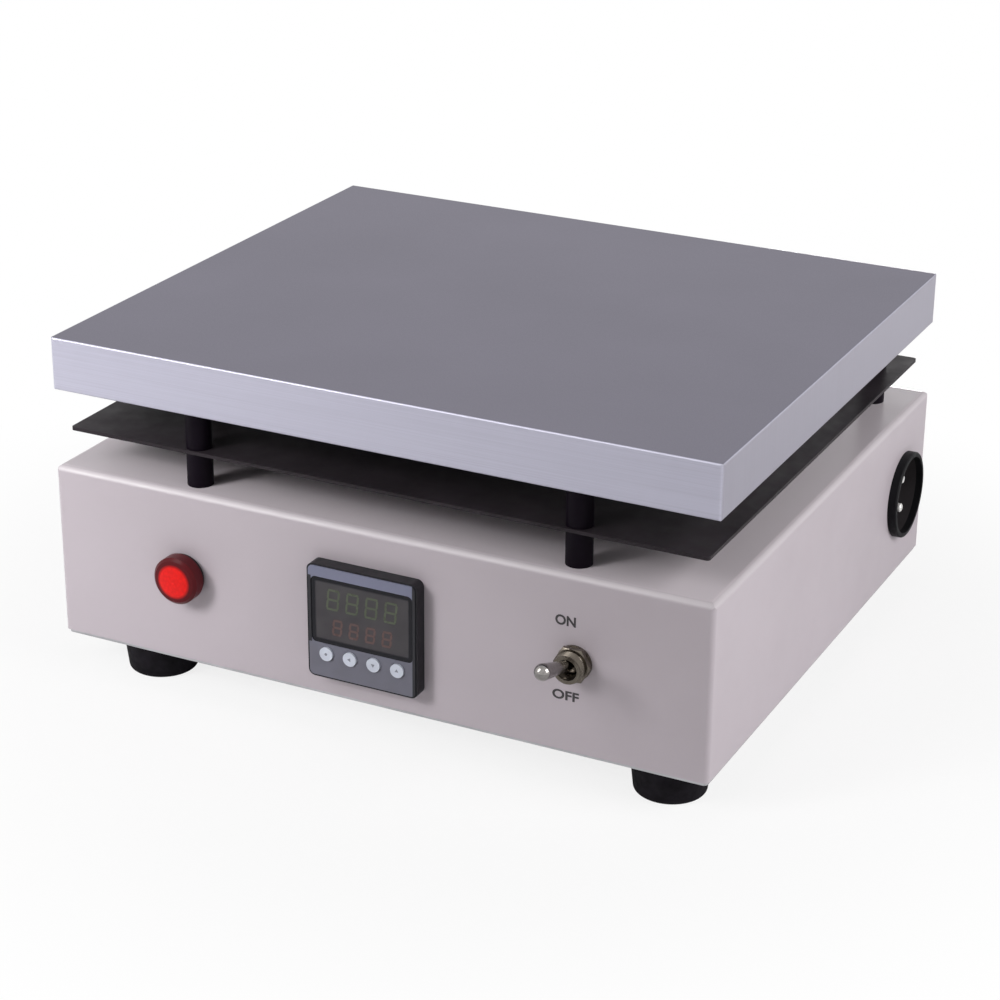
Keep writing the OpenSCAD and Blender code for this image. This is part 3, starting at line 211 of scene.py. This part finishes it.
class Finish:
    """A Principled material, with helpers for noise and relief in real millimetres."""

    def __init__(self, name, color=None, **sockets):
        """sockets are the shader's own, with _ for a space, such as Specular_IOR_Level=0.3."""
        self.mat = bpy.data.materials.new(name)
        self.mat.use_nodes = True
        self.tree = self.mat.node_tree
        self.bsdf = self.tree.nodes["Principled BSDF"]
        for socket, value in sockets.items():
            self.bsdf.inputs[socket.replace("_", " ")].default_value = value
        self.color = color
        self.coord = self.tree.nodes.new("ShaderNodeTexCoord")
        self.height = None

    def link(self, source, target):
        self.tree.links.new(source, target)

    def feed(self, source, socket):
        """Drives one of the shader's own sockets."""
        self.link(source, self.bsdf.inputs[socket])

    def scaled(self, size):
        """Object coordinates over a size in millimetres: one number, or three for X, Y and Z."""
        sizes = size if isinstance(size, tuple) else (size, size, size)
        mapping = self.tree.nodes.new("ShaderNodeMapping")
        mapping.inputs["Scale"].default_value = tuple(1 / (s * MM) for s in sizes)
        self.link(self.coord.outputs["Object"], mapping.inputs["Vector"])
        return mapping.outputs["Vector"]

    def noise(self, size, detail=3):
        """Noise whose lumps measure about size millimetres."""
        node = self.tree.nodes.new("ShaderNodeTexNoise")
        node.inputs["Scale"].default_value = 1
        node.inputs["Detail"].default_value = detail
        self.link(self.scaled(size), node.inputs["Vector"])
        return node.outputs["Fac"]

    def ranged(self, source, from_low, from_high, low=0, high=1):
        """A number from low to high as source rises from from_low to from_high."""
        node = self.tree.nodes.new("ShaderNodeMapRange")
        for socket, value in (
            ("From Min", from_low),
            ("From Max", from_high),
            ("To Min", low),
            ("To Max", high),
        ):
            node.inputs[socket].default_value = value
        self.link(source, node.inputs["Value"])
        return node.outputs["Result"]

    def calc(self, operation, a, b=0):
        """A Math node's result; a and b are sockets or numbers."""
        node = self.tree.nodes.new("ShaderNodeMath")
        node.operation = operation
        for index, value in enumerate((a, b)):
            if isinstance(value, (int, float)):
                node.inputs[index].default_value = value
            else:
                self.link(value, node.inputs[index])
        return node.outputs[0]

    def blended(self, factor, a, b):
        """A number from a to b by factor, all of them sockets."""
        node = self.tree.nodes.new("ShaderNodeMix")
        for index, source in ((0, factor), (2, a), (3, b)):
            self.link(source, node.inputs[index])
        return node.outputs[0]

    def mixed(self, factor, a, b):
        """A colour from a to b by factor; a and b are sockets or colours."""
        node = self.tree.nodes.new("ShaderNodeMix")
        node.data_type = "RGBA"
        self.link(factor, node.inputs[0])
        for socket, value in ((node.inputs[6], a), (node.inputs[7], b)):
            if isinstance(value, tuple):
                socket.default_value = (*value, 1)
            else:
                self.link(value, socket)
        return node.outputs[2]

    def shade(self, source, dark, light, reach=NOISE_NARROW):
        """The finish's colour times dark to light as source rises through reach."""
        shades = [tuple(c * k for c in self.color) for k in (dark, light)]
        return self.mixed(self.ranged(source, *reach), *shades)

    def tint(self, source, dark, light):
        self.feed(self.shade(source, dark, light), "Base Color")

    def polish(self, source, low, high):
        """Roughness from low to high."""
        self.feed(self.ranged(source, *NOISE_WIDE, low, high), "Roughness")

    def bump(self, source, depth, strength):
        """Relief of about depth millimetres; calls add up."""
        node = self.tree.nodes.new("ShaderNodeBump")
        node.inputs["Strength"].default_value = strength
        node.inputs["Distance"].default_value = depth * MM
        self.link(source, node.inputs["Height"])
        if self.height is not None:
            self.link(self.height, node.inputs["Normal"])
        self.height = node.outputs["Normal"]
        self.feed(self.height, "Normal")

    def normal_part(self, axis):
        """How much the surface faces along an axis, 0 to 1, by its own shape."""
        geometry = self.tree.nodes.new("ShaderNodeNewGeometry")
        split = self.tree.nodes.new("ShaderNodeSeparateXYZ")
        self.link(geometry.outputs["Normal"], split.inputs[0])
        return self.calc("ABSOLUTE", split.outputs[axis])

    def place(self, axis):
        """Where the surface is along an axis of the shared frame, in metres."""
        split = self.tree.nodes.new("ShaderNodeSeparateXYZ")
        self.link(self.coord.outputs["Object"], split.inputs[0])
        return split.outputs[axis]

    def offset(self, axis, centre):
        return self.calc("SUBTRACT", self.place(axis), centre["XYZ".index(axis)])

    def radius(self, axes, centre):
        """Distance from the line through centre that is square to the two axes."""
        squares = [self.calc("POWER", self.offset(axis, centre), 2) for axis in axes]
        return self.calc("SQRT", self.calc("ADD", *squares))


def plate_finish():
    """Bare aluminium: an even matt top, dark partly by its own finish and partly by painted
    shade, and sides with fine milling streaks, darker by painted shade where they face along X.
    """
    f = Finish("plate_aluminium")
    # The plate's rounded edges blend the top with the sides, and the sides with each other
    top = f.ranged(f.normal_part("Z"), 0.8, 0.97)
    side = f.ranged(f.normal_part("X"), 0.6, 0.9)
    along = f.noise((90, 90, 0.4))
    upright = f.noise((0.6, 0.6, 60))
    streaks = f.ranged(f.blended(side, along, upright), *NOISE_WIDE)
    cloud = f.ranged(f.noise((70, 70, 30)), *NOISE_WIDE)
    grain = f.ranged(f.noise(0.4, detail=2), *NOISE_WIDE)
    lengthwise = f.mixed(streaks, (0.482, 0.472, 0.568), (0.538, 0.528, 0.633))
    # Painted shade: the end faces, which face along X, get this darker copy of the side colour
    shaded_crosswise = f.mixed(streaks, (0.326, 0.311, 0.369), (0.364, 0.350, 0.410))
    sides = f.mixed(side, lengthwise, shaded_crosswise)
    # The top's dark tone is partly its own finish and partly painted shade
    even_top = f.mixed(cloud, (0.174, 0.166, 0.206), (0.185, 0.176, 0.219))
    grainy_top = f.mixed(f.calc("MULTIPLY", grain, 0.15), even_top, (0.21, 0.20, 0.25))
    f.feed(f.mixed(top, sides, grainy_top), "Base Color")
    f.feed(f.ranged(top, 0, 1, 0.45, 1.0), "Metallic")
    side_rough = f.ranged(streaks, 0, 1, 0.40, 0.48)
    top_rough = f.ranged(grain, 0, 1, 0.44, 0.54)
    f.feed(f.blended(top, side_rough, top_rough), "Roughness")
    f.bump(streaks, 0.006, 0.5)
    f.bump(grain, 0.008, 0.4)
    return f.mat


def paint_finish():
    """Baked enamel on sheet metal, with a slight orange peel; its folds carry a painted
    highlight, dimmer where they face along X, and faces that look up are paler by painted light.
    """
    f = Finish("casing_paint", (0.503, 0.448, 0.486))
    walls = f.shade(f.noise((90, 90, 60), detail=2), 0.975, 1.02)
    lift = f.normal_part("Z")
    # A fold faces further up than the walls and less far up than the top
    above_walls = f.ranged(lift, 0.2, 0.5)
    below_top = f.ranged(lift, 0.85, 0.97, 1, 0)
    fold_highlight = f.calc("MULTIPLY", above_walls, below_top)
    # Painted light: faces that look up get a paler copy of the enamel
    sheet = f.mixed(f.ranged(lift, 0.9, 0.98), walls, (0.70, 0.635, 0.675))
    # Painted highlight on the folds, dimmer on those that face along X
    sideways = f.ranged(f.normal_part("X"), 0.2, 0.4)
    edge = f.mixed(sideways, (0.63, 0.58, 0.61), (0.58, 0.53, 0.56))
    f.feed(f.mixed(fold_highlight, sheet, edge), "Base Color")
    f.polish(f.noise(18), 0.38, 0.48)
    f.bump(f.noise(1.1, detail=1), 0.02, 0.45)
    return f.mat


def lens_finish():
    """Clear red plastic: a patterned inside, and a darker ring near its rim, painted shade that
    stands for the dark inside seen through the side wall.
    """
    lo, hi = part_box("pilot_lens")
    outer = (hi.x - lo.x) / 2
    shade_start = outer - 4.0 * MM
    shade_full = outer - 2.6 * MM
    f = Finish(
        "lens_red",
        (0.80, 0.010, 0.008),
        Roughness=0.35,
        Specular_IOR_Level=0.15,
        Coat_Weight=0.06,
        Coat_Roughness=0.1,
    )
    cells = f.tree.nodes.new("ShaderNodeTexVoronoi")
    cells.inputs["Scale"].default_value = 1
    f.link(f.scaled(1.3), cells.inputs["Vector"])
    inside = f.shade(cells.outputs["Distance"], 1.05, 0.88, (0.0, 0.9))
    # Painted shade: darker red towards the rim
    shaded_rim = f.ranged(f.radius("XZ", middle("pilot_lens")), shade_start, shade_full)
    f.feed(f.mixed(shaded_rim, inside, (0.085, 0.003, 0.006)), "Base Color")
    f.bump(cells.outputs["Distance"], 0.06, 0.4)
    return f.mat


def face_finish():
    """Printed film: blue-grey, black beside the window and down its right edge."""
    lo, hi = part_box("controller_overlay")
    window_lo, window_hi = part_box("controller_window")
    black_width = 1.3 * MM
    darkest = lo.z + 12 * MM
    palest = hi.z - 4 * MM
    f = Finish("face_grey")
    upward = f.ranged(f.place("Z"), darkest, palest)
    film = f.mixed(upward, (0.135, 0.133, 0.167), (0.182, 0.189, 0.277))
    cloud = f.ranged(f.noise(9), *NOISE_NARROW, 0, 0.2)
    cloudy_film = f.mixed(cloud, film, (0.19, 0.19, 0.25))
    right = f.calc("GREATER_THAN", f.place("X"), hi.x - black_width)
    left = f.calc("LESS_THAN", f.place("X"), lo.x + black_width)
    above = f.calc("GREATER_THAN", f.place("Z"), window_lo.z)
    below = f.calc("LESS_THAN", f.place("Z"), window_hi.z)
    beside = f.calc("MULTIPLY", left, f.calc("MULTIPLY", above, below))
    black = f.calc("MAXIMUM", right, beside)
    f.feed(f.mixed(black, cloudy_film, (0.008, 0.008, 0.012)), "Base Color")
    f.polish(f.noise(4), 0.37, 0.49)
    f.bump(f.noise(0.3, detail=2), 0.006, 0.5)
    return f.mat


def inlet_finish():
    """Matt black moulding, with a slightly paler floor in its recess."""
    lo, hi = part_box("inlet_body")
    rim_depth = 3 * MM
    rim_width = 1.9 * MM
    f = Finish("inlet_black", (0.004, 0.004, 0.005), Specular_IOR_Level=0.12)
    behind_rim = f.calc("LESS_THAN", f.place("X"), hi.x - rim_depth)
    radius = f.radius("YZ", middle("inlet_body"))
    within_rim = f.calc("LESS_THAN", radius, (hi.z - lo.z) / 2 - rim_width)
    floor = f.calc("MULTIPLY", behind_rim, within_rim)
    rim = f.shade(f.noise(9), 0.9, 1.1)
    f.feed(f.mixed(floor, rim, (0.035, 0.031, 0.033)), "Base Color")
    f.polish(f.noise(4), 0.44, 0.58)
    f.bump(f.noise(0.4, detail=2), 0.012, 0.5)
    return f.mat


def window_finish():
    """Dark filter of the display: a darker printed border round a greyer middle."""
    lo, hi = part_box("controller_window")
    border_inner = 2.6 * MM
    border_outer = 1.8 * MM
    f = Finish("window_dark", Roughness=0.16, Specular_IOR_Level=0.3)
    parts = []
    for axis, reach in (("X", (hi.x - lo.x) / 2), ("Z", (hi.z - lo.z) / 2)):
        off = f.calc("ABSOLUTE", f.offset(axis, middle("controller_window")))
        parts.append(f.ranged(off, reach - border_inner, reach - border_outer, 1, 0))
    inside = f.calc("MULTIPLY", *parts)
    cloud = f.ranged(f.noise((12, 12, 9), detail=2), *NOISE_NARROW)
    pane = f.mixed(cloud, (0.052, 0.047, 0.053), (0.064, 0.059, 0.064))
    f.feed(f.mixed(inside, (0.004, 0.004, 0.008), pane), "Base Color")
    f.bump(f.noise(6, detail=1), 0.01, 0.2)
    return f.mat


def black_paint_finish(name, color, rough, gloss):
    """Thin matt paint on sheet or tube, slightly cloudy."""
    f = Finish(name, color, Specular_IOR_Level=gloss)
    f.tint(f.noise(14, detail=4), 0.85, 1.25)
    f.polish(f.noise(7), rough - 0.06, rough + 0.08)
    f.bump(f.noise(0.7, detail=2), 0.02, 0.5)
    return f.mat


def metal_finish(name, color, rough, streak, depth, metal):
    """Plated or bare metal, with streaks of a size in millimetres and relief of a depth."""
    f = Finish(name, color, Metallic=metal)
    lines = f.noise(streak)
    f.tint(lines, 0.86, 1.12)
    f.polish(f.noise(3), rough - 0.07, rough + 0.08)
    f.bump(lines, depth, 0.6)
    return f.mat


def plastic_finish(name, color, rough, grain, depth, gloss):
    """Moulded plastic, with a grain of a size in millimetres and relief of a depth."""
    f = Finish(name, color, Specular_IOR_Level=gloss)
    f.tint(f.noise(9), 0.92, 1.08)
    f.polish(f.noise(4), rough - 0.05, rough + 0.07)
    f.bump(f.noise(grain, detail=2), depth, 0.5)
    return f.mat


def rubber_finish(name, color):
    """Dull rubber with a faint bloom."""
    f = Finish(name, color, Specular_IOR_Level=0.1)
    f.tint(f.noise(6, detail=4), 0.8, 1.5)
    f.polish(f.noise(2.5), 0.6, 0.82)
    f.bump(f.noise(0.5), 0.03, 0.6)
    return f.mat


def lead_finish():
    """Red silicone round the leads inside."""
    f = Finish("lead_cover", (0.36, 0.045, 0.035))
    f.tint(f.noise(5), 0.85, 1.15)
    f.polish(f.noise(3), 0.48, 0.62)
    f.bump(f.noise(0.6, detail=2), 0.02, 0.5)
    return f.mat


BLACK_PAINTS = (
    # slot, colour, roughness, specular level
    ("shield_black", (0.024, 0.019, 0.023), 0.5, 0.14),
    ("post_black", (0.004, 0.002, 0.005), 0.5, 0.07),
)
METALS = (
    # slot, colour, roughness, streaks and depth in mm, metallic
    ("element_sheath", (0.30, 0.27, 0.25), 0.45, (2, 2, 2), 0.02, 1),
    ("plain_steel", (0.50, 0.50, 0.52), 0.36, (14, 0.4, 0.4), 0.006, 1),
    # Painted reflection: bright_steel and chrome are darkened to stand for the dark surroundings
    # they mirror
    ("bright_steel", (0.150, 0.131, 0.109), 0.28, (0.4, 0.4, 0.4), 0.006, 1),
    ("chrome", (0.29, 0.275, 0.265), 0.16, (1.5, 1.5, 1.5), 0.01, 1),
    ("inlet_contacts", (0.80, 0.79, 0.77), 0.4, (3, 0.3, 0.3), 0.006, 0.3),
    ("brass", (0.70, 0.50, 0.20), 0.3, (0.4, 0.4, 4), 0.006, 1),
)
PLASTICS = (
    # slot or finish, colour, roughness, grain and depth in mm, specular level
    ("ceramic", (0.80, 0.77, 0.70), 0.6, 0.5, 0.02, 0.5),
    ("black_plastic", (0.010, 0.009, 0.012), 0.42, 0.35, 0.012, 0.25),
    ("board_green", (0.03, 0.16, 0.07), 0.3, 0.6, 0.02, 0.5),
    ("display_dark", (0.07, 0.065, 0.07), 0.5, 0.35, 0.012, 0.5),
    ("key_pale", (0.60, 0.63, 0.72), 0.36, 0.4, 0.006, 0.5),
    ("relay_shell", (0.03, 0.03, 0.04), 0.45, 0.35, 0.012, 0.5),
    ("print_dark", (0.035, 0.030, 0.034), 0.5, 0.2, 0.004, 0.5),
    ("digit_green", (0.070, 0.086, 0.050), 0.3, 0.3, 0.002, 0.5),
    ("digit_red", (0.105, 0.055, 0.050), 0.3, 0.3, 0.002, 0.5),
    ("mark_grey", (0.22, 0.23, 0.28), 0.4, 0.3, 0.002, 0.5),
)
RUBBERS = (
    # slot, colour
    ("black_silicone", (0.025, 0.025, 0.025)),
    ("foot_rubber", (0.006, 0.005, 0.007)),
)


def make_finishes():
    finishes = {
        "plate_aluminium": plate_finish(),
        "casing_paint": paint_finish(),
        "lens_red": lens_finish(),
        "face_grey": face_finish(),
        "inlet_black": inlet_finish(),
        "window_dark": window_finish(),
        "lead_cover": lead_finish(),
    }
    for make, table in (
        (black_paint_finish, BLACK_PAINTS),
        (metal_finish, METALS),
        (plastic_finish, PLASTICS),
        (rubber_finish, RUBBERS),
    ):
        for name, *values in table:
            finishes[name] = make(name, *values)
    return finishes


def dress_nodes(finishes):
    """Gives each CAD node the finish of its slot in the record."""
    slots = {s["node"]: s["material_slot"] for s in frame["record"]["subparts"]}
    for name, obj in frame["nodes"].items():
        for slot in obj.material_slots:
            slot.material = finishes[slots[name]]


# Small pieces on the front

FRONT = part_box("casing")[0].y
INK = 0.06 * MM

# How much the letters' strokes are thickened, as a share of the font's size
LETTER_BOLDNESS = 0.03
LABELS = (
    # word, its middle to the right of and above the switch's, width and height, in mm
    ("ON", -4.3, 17.0, 8.8, 4.4),
    ("OFF", -3.7, -15.4, 11.5, 4.2),
)

DIGIT_COUNT = 4
DIGIT_LEAN = 0.1
DIGIT_DEPTH = 0.03 * MM
BAR_WIDTH = 0.95 * MM
# As a share of a bar's width
BAR_GAP = 0.18
DIGIT_ROWS = (
    # row, finish, height above the window's lower edge, digit height, width and pitch, in mm
    ("upper", "digit_green", 15.6, 9.4, 5.8, 8.8),
    ("lower", "digit_red", 4.6, 7.2, 4.6, 7.6),
)

KEY_MARKS = (
    # key, corners, direction of the first in degrees, radius in mm
    ("key_1", 24, 0, 0.62),
    ("key_2", 3, 180, 0.95),
    ("key_3", 3, -90, 0.95),
    ("key_4", 3, 90, 0.95),
)

THREAD_ROOT = 5.97 * MM
THREAD_CREST = 6.28 * MM
THREAD_PITCH = 0.8 * MM
THREAD_STEPS_PER_TURN = 48
THREAD_PROFILE = (
    # shift in pitches, radius
    (0.5, THREAD_ROOT),
    (0.12, THREAD_CREST),
    (-0.12, THREAD_CREST),
    (-0.5, THREAD_ROOT),
)
# In pitches, from the bushing's mouth to the thread's last turn
THREAD_END = 0.6
# In turns, over which the ridge rises at one end and falls at the other
THREAD_RUN_OUT = 0.25


def add_piece(name, mesh, finish, body):
    obj = bpy.data.objects.new(name, mesh)
    bpy.context.scene.collection.objects.link(obj)
    mesh.materials.append(finish)
    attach(obj, body)


def closed_mesh(name, bm):
    """A mesh of the bmesh, which it frees, with its faces turned outwards."""
    mesh = bpy.data.meshes.new(name)
    bmesh.ops.recalc_face_normals(bm, faces=bm.faces)
    bm.to_mesh(mesh)
    bm.free()
    return mesh


def front_slab(name, outlines, y, depth):
    """Flat shapes drawn in X and Z, standing out of the plane y by depth towards the viewer."""
    bm = bmesh.new()
    for outline in outlines:
        back = [bm.verts.new((x, y, z)) for x, z in outline]
        front = [bm.verts.new((x, y - depth, z)) for x, z in outline]
        bm.faces.new(back[::-1])
        bm.faces.new(front)
        count = len(outline)
        for i in range(count):
            j = (i + 1) % count
            bm.faces.new((back[i], back[j], front[j], front[i]))
    return closed_mesh(name, bm)


def make_label(text, x, z, width, height, finish):
    """A printed word, width by height, with its middle at x and z on the casing's front."""
    name = "label_" + text.lower()
    curve = bpy.data.curves.new(name, "FONT")
    curve.body = text
    # Any depth, because the letters are fitted to the ink's below
    curve.extrude = 0.5
    curve.offset = LETTER_BOLDNESS
    obj = bpy.data.objects.new(name, curve)
    bpy.context.scene.collection.objects.link(obj)
    bpy.context.view_layer.update()
    evaluated = obj.evaluated_get(bpy.context.evaluated_depsgraph_get())
    mesh = bpy.data.meshes.new_from_object(evaluated)
    bpy.data.objects.remove(obj)
    lows = [min(v.co[i] for v in mesh.vertices) for i in range(3)]
    highs = [max(v.co[i] for v in mesh.vertices) for i in range(3)]
    for v in mesh.vertices:
        share = [(v.co[i] - lows[i]) / (highs[i] - lows[i]) for i in range(3)]
        v.co = (
            x + (share[0] - 0.5) * width,
            FRONT - share[2] * INK,
            z + (share[1] - 0.5) * height,
        )
    mesh.name = name
    mesh.materials.clear()
    add_piece(name, mesh, finish, "base")


def make_labels(finish):
    """The words beside the switch."""
    switch = middle("toggle_nut")
    for text, *distances in LABELS:
        right, up, width, height = (d * MM for d in distances)
        make_label(text, switch.x + right, switch.z + up, width, height, finish)


def segments(x, z, width, height):
    """The seven bars of one digit, with its lower left corner at x and z."""
    half = height / 2
    bar = BAR_WIDTH
    tip = bar / 2
    gap = bar * BAR_GAP
    level = [
        [
            (gap + tip, low),
            (width - gap - tip, low),
            (width - gap, low + tip),
            (width - gap - tip, low + bar),
            (gap + tip, low + bar),
            (gap, low + tip),
        ]
        for low in (0, half - tip, height - bar)
    ]
    upright = [
        [
            (side + tip, low),
            (side + bar, low + tip),
            (side + bar, high - tip),
            (side + tip, high),
            (side, high - tip),
            (side, low + tip),
        ]
        for side in (0, width - bar)
        for low, high in ((tip + gap, half - gap), (half + gap, height - tip - gap))
    ]
    return [
        [(x + px + DIGIT_LEAN * pz, z + pz) for px, pz in outline] for outline in level + upright
    ]


def make_display(finishes):
    """Two rows of unlit digits, which lie on the controller's opaque window."""
    lo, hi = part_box("controller_window")
    centre = (lo.x + hi.x) / 2
    for row, finish, *distances in DIGIT_ROWS:
        rise, height, width, pitch = (d * MM for d in distances)
        outlines = []
        for i in range(DIGIT_COUNT):
            digit_middle = centre + (i - (DIGIT_COUNT - 1) / 2) * pitch
            left = digit_middle - (width + DIGIT_LEAN * height) / 2
            outlines += segments(left, lo.z + rise, width, height)
        name = "digits_" + row
        mesh = front_slab(name, outlines, lo.y, DIGIT_DEPTH)
        add_piece(name, mesh, finishes[finish], "base")


def ngon(x, z, radius, count, turn):
    angles = [turn + 2 * math.pi * i / count for i in range(count)]
    return [(x + radius * math.cos(a), z + radius * math.sin(a)) for a in angles]


def make_key_marks(finish):
    """A dot and three arrows printed on the keys."""
    for key, count, direction, radius in KEY_MARKS:
        name = key.replace("key", "mark")
        mid = middle(key)
        outline = ngon(mid.x, mid.z, radius * MM, count, math.radians(direction))
        mesh = front_slab(name, [outline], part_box(key)[0].y, INK)
        add_piece(name, mesh, finish, key + "_cap")


def make_thread(finish):
    """The thread that shows on the toggle's bushing, in front of its nut."""
    mid = middle("toggle_nut")
    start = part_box("toggle_nut")[0].y - THREAD_PITCH / 2
    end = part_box("toggle_bushing")[0].y + THREAD_PITCH * THREAD_END
    steps = int((start - end) / THREAD_PITCH * THREAD_STEPS_PER_TURN)
    run_out = THREAD_STEPS_PER_TURN * THREAD_RUN_OUT
    bm = bmesh.new()
    rings = []
    for i in range(steps + 1):
        angle = 2 * math.pi * i / THREAD_STEPS_PER_TURN
        y = start - THREAD_PITCH * i / THREAD_STEPS_PER_TURN
        grow = min(1.0, i / run_out, (steps - i) / run_out)
        ring = []
        for shift, radius in THREAD_PROFILE:
            r = THREAD_ROOT + (radius - THREAD_ROOT) * grow
            across = mid.x + r * math.cos(angle)
            up = mid.z + r * math.sin(angle)
            ring.append(bm.verts.new((across, y + shift * THREAD_PITCH, up)))
        rings.append(ring)
    for a, b in zip(rings, rings[1:]):
        for j in range(4):
            k = (j + 1) % 4
            bm.faces.new((a[j], a[k], b[k], b[j]))
    bm.faces.new(rings[0])
    bm.faces.new(rings[-1][::-1])
    add_piece("bushing_thread", closed_mesh("bushing_thread", bm), finish, "base")


make_camera()
make_world()
make_lights()
make_floor()
finishes = make_finishes()
dress_nodes(finishes)
make_labels(finishes["print_dark"])
make_display(finishes)
make_key_marks(finishes["mark_grey"])
make_thread(finishes["bright_steel"])

bpy.context.scene.view_settings.view_transform = "Standard"
